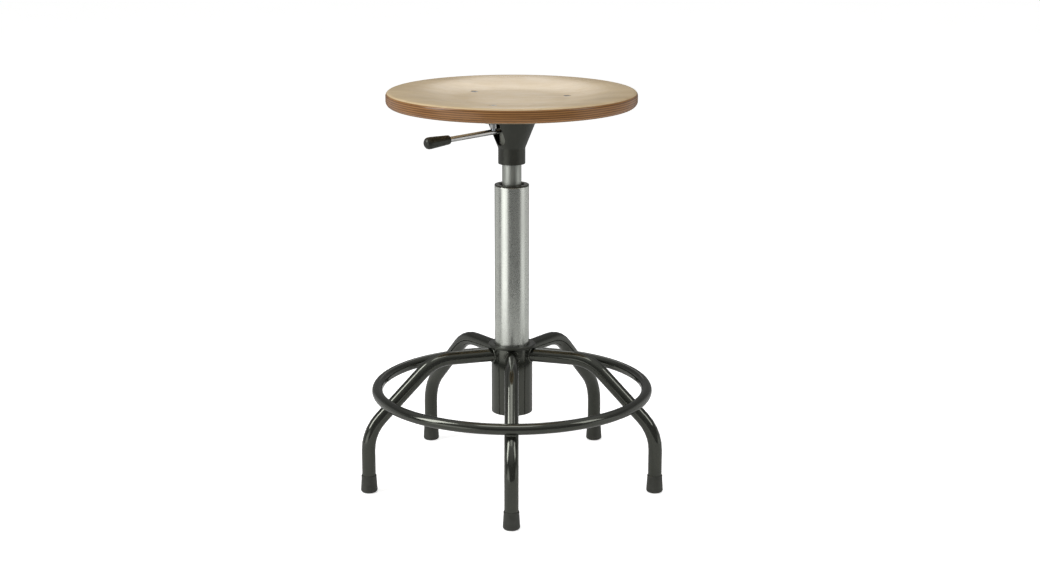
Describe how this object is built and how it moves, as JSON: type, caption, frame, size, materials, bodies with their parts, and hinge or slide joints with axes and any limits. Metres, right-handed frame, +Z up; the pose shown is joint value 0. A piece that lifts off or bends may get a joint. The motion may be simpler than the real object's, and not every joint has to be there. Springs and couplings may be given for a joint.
{
  "type": "adjustable swivel stool",
  "caption": "Backless stool with a round dished plywood seat that swivels and rises on a gas-lift column with a release lever, over a tubular base with a foot ring.",
  "frame": {"origin": "middle of the footprint's box on the floor; the column's axis stands 12 mm behind it, at x 0, y 0.012, because five feet are not even front to back", "axes": "+Z up along the column; -Y towards the front foot; +X to the right seen from the front"},
  "size_m": [0.4424, 0.4389, 0.58],
  "materials": {
    "plywood": "satin clear lacquer over pale veneer, darker plies at the edge",
    "seat_fastener": "zinc-plated steel",
    "black_paint": "semi-gloss black powder coat",
    "black_plastic": "fine-grained moulded black plastic",
    "black_rubber": "satin black rubber",
    "lever_steel": "bright plated steel rod",
    "chrome_tube": "hard chrome, polished",
    "satin_column": "satin zinc plate with a fine grain",
    "bearing_steel": "ground steel",
    "brass": "turned brass"
  },
  "bodies": {
    "base": {"hub_tube": "black_paint", "hub_collar": "black_plastic", "foot_ring": "black_paint", "column_tube": "satin_column", "guide_bush": "black_plastic", "bearing_lower_race": "bearing_steel", "leg_1": "black_paint", "leg_2": "black_paint", "leg_3": "black_paint", "leg_4": "black_paint", "leg_5": "black_paint", "foot_1": "black_rubber", "foot_2": "black_rubber", "foot_3": "black_rubber", "foot_4": "black_rubber", "foot_5": "black_rubber"},
    "piston_rod": {"piston_rod": "chrome_tube", "piston": "brass", "piston_seal": "black_rubber", "piston_nut": "bearing_steel", "rod_clip": "bearing_steel", "rod_clip_washer": "bearing_steel", "rubber_bumper": "black_rubber", "bearing_upper_race": "bearing_steel"},
    "bearing_cage": {"ball_cage": "brass", "bearing_ball_1": "bearing_steel", "bearing_ball_2": "bearing_steel", "bearing_ball_3": "bearing_steel", "bearing_ball_4": "bearing_steel", "bearing_ball_5": "bearing_steel", "bearing_ball_6": "bearing_steel", "bearing_ball_7": "bearing_steel", "bearing_ball_8": "bearing_steel"},
    "seat_column": {"seat_board": "plywood", "seat_bolt_1": "seat_fastener", "seat_washer_1": "seat_fastener", "seat_nut_1": "seat_fastener", "seat_bolt_2": "seat_fastener", "seat_washer_2": "seat_fastener", "seat_nut_2": "seat_fastener", "seat_bolt_3": "seat_fastener", "seat_washer_3": "seat_fastener", "seat_nut_3": "seat_fastener", "seat_bracket": "black_paint", "taper_socket": "black_paint", "cone_cover": "black_plastic", "lever_pivot_pin": "lever_steel", "pressure_tube": "chrome_tube", "valve_body": "brass", "rod_guide": "black_plastic", "rod_seal": "black_rubber"},
    "release_lever": {"lever_rod": "lever_steel", "lever_grip": "black_plastic"},
    "valve_pin": {"valve_pin": "bearing_steel"}
  },
  "joints": [
    {"name": "seat_swivel", "type": "hinge", "parent": "base", "child": "piston_rod", "pos_m": [0, 0.012, 0.115], "axis": [0, 0, 1], "continuous": true},
    {"name": "seat_height", "type": "slide", "parent": "piston_rod", "child": "seat_column", "axis": [0, 0, 1], "range_m": [-0.025, 0.235]},
    {"name": "lever_tilt", "type": "hinge", "parent": "seat_column", "child": "release_lever", "pos_m": [-0.01206, 0.00258, 0.52463], "axis": [-0.6157, 0.788, 0], "range_deg": [0, 8], "stiffness_Nm_per_rad": 2.5, "springref_deg": -5.73},
    {"name": "valve_press", "type": "slide", "parent": "seat_column", "child": "valve_pin", "axis": [0, 0, 1], "range_m": [-0.0024, 0]},
    {"name": "cage_spin", "type": "hinge", "parent": "base", "child": "bearing_cage", "pos_m": [0, 0.012, 0.115], "axis": [0, 0, 1], "continuous": true}
  ],
  "couplings": [
    {"joint": "cage_spin", "follows": "seat_swivel", "ratio": 0.5},
    {"joint": "valve_press", "follows": "lever_tilt", "m_per_rad": -0.0165}
  ]
}
